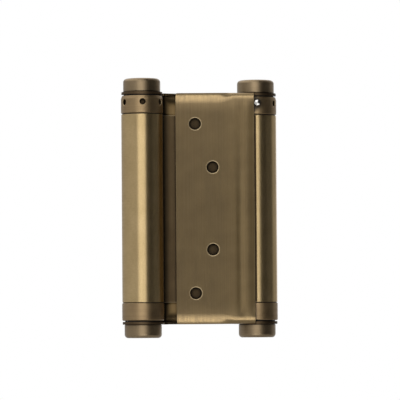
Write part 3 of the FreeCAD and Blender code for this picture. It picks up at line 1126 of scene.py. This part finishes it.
@dataclass
class Collar:
    """A turned collar with a spigot in the barrel: wound at the top, pressed in at the bottom."""

    side: Side
    end: End
    radius: float = 9.0
    outer_end: float = 48.35
    height: float = 7.6
    taper: float = 0.4
    taper_height: float = 1.4
    anchor_chamfer: float = 0.35
    shoulder_chamfer: float = 0.25
    land_radius: float = 8.55
    land_height: float = 0.2
    spigot_radius: float = 7.65
    spigot_length: float = 6.0
    bore: float = 3.05
    edge_break: float = 0.12
    break_angle: float = 12.0
    hole_count: int = 6
    hole_steps: int = 48
    hole_radius: float = 1.3
    hole_depth: float = 3.5
    hole_from_end: float = 2.8
    hole_rounding: float = 0.3
    pin_radius: float = 1.25
    pin_tip: float = 11.3
    pin_dome: float = 0.5
    dome_steps: int = 12
    pin_crease: float = 10.0
    pin_angle: float = 93.1
    pin_facets: list[tuple[float, float]] = field(
        default_factory=lambda: [(20.0, 13.0), (110.0, 16.0), (200.0, 12.0), (290.0, 17.0)]
    )

    @property
    def wound(self) -> bool:
        """Whether this is the collar that is turned with a bar to wind the spring."""
        return self.end is End.TOP

    def blank(self) -> Blank:
        """Turn the collar with its tapered or chamfered end and its spigot.

        Returns:
            The collar before its edges are broken and its holes are made.
        """
        foot = self.outer_end - self.height
        inset, depth = self.anchor_chamfer, self.anchor_chamfer
        if self.wound:
            inset, depth = self.taper, self.taper_height
        return Blank.turned([
            (self.bore, foot - self.spigot_length), (self.spigot_radius, foot - self.spigot_length),
            (self.spigot_radius, foot - self.land_height), (self.land_radius, foot - self.land_height),
            (self.land_radius, foot), (self.radius - self.shoulder_chamfer, foot),
            (self.radius, foot + self.shoulder_chamfer), (self.radius, self.outer_end - depth),
            (self.radius - inset, self.outer_end), (self.bore, self.outer_end),
        ], hollow=True)

    def radial(self, angle: float) -> Matrix:
        """Give the move that lays an upright tool across the collar.

        Args:
            angle: Direction in degrees round the barrel.

        Returns:
            The move, with the tool's height running outwards.
        """
        level = Matrix.Translation((0.0, 0.0, self.outer_end - self.hole_from_end))
        lying = Matrix.Rotation(math.pi / 2, 4, "Y")
        return level @ Matrix.Rotation(math.radians(angle), 4, "Z") @ lying

    def hole_cutter(self, angle: float) -> Blank:
        """Make the cutter of one blind bar hole.

        Args:
            angle: Direction in degrees round the barrel.

        Returns:
            The cutter.
        """
        floor = self.radius - self.hole_depth
        mouth = Blank.rounded_mouth(self.hole_radius, self.radius, self.hole_rounding)
        cutter = Blank.turned([
            (0.0, floor), (self.hole_radius, floor), *mouth, (0.0, mouth[-1][1]),
        ], steps=self.hole_steps)
        # The hole's wall and floor take the dark rim finish, as painted shade.
        return cutter.wear_slopes(Blank.SHADED_FACES).move(self.radial(angle))

    def pin(self) -> None:
        """Make the bright pin that rests against the leaf's edge."""
        floor = self.radius - self.hole_depth
        blank = Blank.turned([
            (0.0, floor), (self.pin_radius, floor), (self.pin_radius, self.pin_tip), (0.0, self.pin_tip),
        ], steps=self.hole_steps)
        blank.round_ring(self.pin_radius, self.pin_tip, self.pin_dome, self.dome_steps)
        for bearing, tilt in self.pin_facets:
            tilted = Matrix.Rotation(math.radians(-tilt), 3, "Y") @ Vector((0.0, 0.0, 1.0))
            outward = Matrix.Rotation(math.radians(bearing), 3, "Z") @ tilted
            cut = bmesh.ops.bisect_plane(
                blank.bm, geom=blank.bm.verts[:] + blank.bm.edges[:] + blank.bm.faces[:],
                plane_co=(0.0, 0.0, self.pin_tip), plane_no=outward, clear_outer=True,
            )
            rim = [item for item in cut["geom_cut"] if isinstance(item, bmesh.types.BMEdge)]
            bmesh.ops.contextual_create(blank.bm, geom=rim)
        blank.close_up()
        blank.lay_grain([Vector()], self.radius)
        blank.move(self.radial(self.pin_angle))
        materials = [SHOP.pin.material(self.side.axis())]
        piece = blank.finish(self.side.node("bar_pin"), self.side.place(), materials, self.pin_crease)
        hand_over(piece, self.side.node("tensioner"), self.side.node("tension_pin"))

    def build(self) -> None:
        """Turn the collar, drill it if it is the wound one, and dress it."""
        blank = self.blank()
        blank.break_edges(self.edge_break, self.break_angle, worn=False)
        name, node, body = self.side.node("fixed_collar"), self.side.node("anchor_collar"), "web"
        pin_foot = None
        if self.wound:
            name, node = self.side.node("wound_collar"), self.side.node("tension_collar")
            body = self.side.node("tensioner")
            # The collar's finish paints a shadow round the pin's foot.
            pin_foot = self.side.place() @ self.radial(self.pin_angle) @ Vector((0.0, 0.0, self.radius))
            for step in range(self.hole_count):
                cutter = self.hole_cutter(self.pin_angle + 360.0 * step / self.hole_count)
                blank.combine(cutter, "DIFFERENCE")
        blank.lay_grain([Vector()], self.radius * 2)
        blank.move(self.end.mirror())
        collar = SHOP.collar.material(self.side.axis(), pin_foot)
        # The third finish, the dark rim one, paints shade into any bar holes.
        materials = [collar, SHOP.worn.material(), SHOP.rim.material()]
        piece = blank.finish(name, self.side.place(), materials)
        hand_over(piece, body, node)
        if self.wound:
            self.pin()


@dataclass
class HiddenWorks:
    """The spindle and the spring inside one barrel, which keep their CAD shape."""

    side: Side

    def build(self) -> None:
        """Give the hidden pieces their metal finishes."""
        finishes = {"spindle": SHOP.spindle, "spring": SHOP.spring}
        for piece, finish in finishes.items():
            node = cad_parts[self.side.node(piece)]
            node.material_slots[0].material = finish.material(self.side.axis())
            LOG.info("%s: keeps its CAD shape, finish %s", node.name, finish.name)


@dataclass(frozen=True)
class Card:
    """A curved card round the hinge, which the metal shows but the camera doesn't."""

    CAMERA_BEARING = -90.0

    name: str
    azimuths: tuple[float, float]
    elevations: tuple[float, float]
    brightness: float
    distance: float = 1.6
    steps: int = 24

    def build(self) -> None:
        """Spin an upright edge into the card, from its first azimuth to its second."""
        bm = bmesh.new()
        start, stop = (math.radians(self.CAMERA_BEARING + azimuth) for azimuth in self.azimuths)
        verts = []
        for elevation in self.elevations:
            aim = Vector((math.cos(start), math.sin(start), math.tan(math.radians(elevation))))
            verts.append(bm.verts.new(aim * self.distance))
        edge = bm.edges.new(verts)
        bmesh.ops.spin(
            bm, geom=verts + [edge], cent=(0, 0, 0), axis=(0, 0, 1), angle=stop - start, steps=self.steps,
        )
        mesh = bpy.data.meshes.new(self.name)
        bm.to_mesh(mesh)
        bm.free()
        bench = NodeBench(bpy.data.materials.new(self.name))
        glow = bench.add("Emission", Strength=self.brightness)
        bench.add("OutputMaterial", Surface=glow.outputs["Emission"])
        mesh.materials.append(bench.owner)
        card = bpy.data.objects.new(self.name, mesh)
        card.visible_camera = False
        card.visible_shadow = False
        bpy.context.scene.collection.objects.link(card)


@dataclass(frozen=True)
class Softbox:
    """A soft lamp that points at the hinge, with a brightness of 1 for the white background's."""

    name: str
    azimuth: float
    elevation: float
    width: float
    height: float
    brightness: float
    distance: float = 1.4

    def build(self) -> None:
        """Hang the lamp, with angles in degrees to the right of the camera and above the horizon."""
        lamp = bpy.data.lights.new(self.name, "AREA")
        lamp.shape = "RECTANGLE"
        lamp.size, lamp.size_y = self.width, self.height
        lamp.energy = self.brightness * math.pi * self.width * self.height
        box = bpy.data.objects.new(self.name, lamp)
        box.visible_camera = False
        turn, lift = math.radians(self.azimuth), math.radians(self.elevation)
        away = Vector((math.sin(turn) * math.cos(lift), -math.cos(turn) * math.cos(lift), math.sin(lift)))
        box.location = away * self.distance
        box.rotation_euler = away.to_track_quat("Z", "Y").to_euler()
        bpy.context.scene.collection.objects.link(box)


@dataclass
class Studio:
    """Pale floor, soft light, cards and a camera square on to the door leaf."""

    floor_level: float = -0.7
    floor_radius: float = 3.0
    floor_segments: int = 96
    floor_colour: Colour = (0.82, 0.82, 0.81)
    camera_distance: float = 1.7
    camera_height: float = -0.057
    aim_height: float = 0.0037
    aim_across: float = 0.00016
    frame_width: float = 0.1728
    sensor_width: float = 36.0
    roll: float = -0.4
    ambient: float = 0.6
    cards: list[Card] = field(default_factory=lambda: [
        Card("front_left_card", azimuths=(-24.0, -7.0), elevations=(-8.0, 9.5), brightness=0.33),
        Card("front_card", azimuths=(-7.0, 17.0), elevations=(-8.0, 9.5), brightness=0.13),
        Card("upper_card", azimuths=(-24.0, 17.0), elevations=(9.5, 14.0), brightness=1.0),
        Card("lower_card", azimuths=(-24.0, 17.0), elevations=(-13.0, -8.0), brightness=1.0),
        Card("left_card", azimuths=(-165.0, -24.0), elevations=(-20.0, 25.0), brightness=0.42),
        Card("right_dark_card", azimuths=(17.0, 62.0), elevations=(-80.0, 80.0), brightness=0.0),
        Card("right_dim_card", azimuths=(62.0, 104.0), elevations=(-80.0, 80.0), brightness=0.06),
        Card("right_rim_card", azimuths=(104.0, 150.0), elevations=(-60.0, 60.0), brightness=0.34),
        Card("upper_dark_card", azimuths=(-50.0, 20.0), elevations=(33.0, 46.0), brightness=0.3),
        Card("ceiling_card", azimuths=(-50.0, 20.0), elevations=(46.0, 78.0), brightness=0.9),
    ])
    softboxes: list[Softbox] = field(default_factory=lambda: [
        Softbox("top_softbox", azimuth=-2.0, elevation=22.0, width=1.1, height=0.44, brightness=1.6),
        Softbox("low_softbox", azimuth=-2.0, elevation=-20.0, width=1.1, height=0.4, brightness=1.95),
    ])

    def floor(self) -> None:
        """Lay a pale round floor well below the hinge."""
        bm = bmesh.new()
        bmesh.ops.create_circle(bm, cap_ends=True, radius=self.floor_radius, segments=self.floor_segments)
        bmesh.ops.translate(bm, verts=bm.verts, vec=(0, 0, self.floor_level))
        mesh = bpy.data.meshes.new("studio_floor")
        bm.to_mesh(mesh)
        bm.free()
        finish = MouldedFinish("pale_floor", self.floor_colour, roughness=0.8, grains_per_mm=0.05)
        mesh.materials.append(finish.material())
        floor = bpy.data.objects.new("studio_floor", mesh)
        bpy.context.scene.collection.objects.link(floor)

    def world(self) -> None:
        """Set a white background, which the metal shows too, over a softer fill."""
        bench = NodeBench(bpy.data.worlds.new("white_studio"))
        bpy.context.scene.world = bench.owner
        path = bench.add("LightPath")
        seen = path.outputs["Is Camera Ray"]
        for ray in ("Is Glossy Ray", "Is Transmission Ray"):
            seen = bench.total(seen, path.outputs[ray])
        mix = bench.add("MixShader", Fac=seen)
        for strength, socket in zip((self.ambient, 1.0), mix.inputs[1:]):
            light = bench.add("Background", Color=(1.0, 1.0, 1.0, 1.0), Strength=strength)
            bench.wire(light.outputs["Background"], socket)
        bench.add("OutputWorld", Surface=mix.outputs["Shader"])

    def camera(self) -> None:
        """Set the camera at the photograph's place."""
        data = bpy.data.cameras.new("photo_camera")
        data.sensor_width = self.sensor_width
        data.lens = self.sensor_width * self.camera_distance / self.frame_width
        camera = bpy.data.objects.new("photo_camera", data)
        camera.location = (0.0, -self.camera_distance, self.camera_height)
        aim = Vector((self.aim_across, 0.0, self.aim_height)) - camera.location
        roll = Matrix.Rotation(math.radians(self.roll), 3, "Z").to_quaternion()
        camera.rotation_euler = (aim.to_track_quat("-Z", "Y") @ roll).to_euler()
        bpy.context.scene.collection.objects.link(camera)
        bpy.context.scene.camera = camera

    def build(self) -> None:
        """Put the studio up."""
        bpy.context.scene.view_settings.view_transform = "Standard"
        self.floor()
        self.world()
        for card in self.cards:
            card.build()
        for softbox in self.softboxes:
            softbox.build()
        self.camera()


def main() -> None:
    """Build the hinge's pieces in order, then the studio round them."""
    logging.basicConfig(level=logging.INFO, format="%(name)s: %(message)s")
    CentreWeb().build()
    for side in Side:
        Leaf(side).build()
        for end in End:
            EndFittings(side, end).build()
            Collar(side, end).build()
        HiddenWorks(side).build()
    Studio().build()


if __name__ == "__main__":
    main()
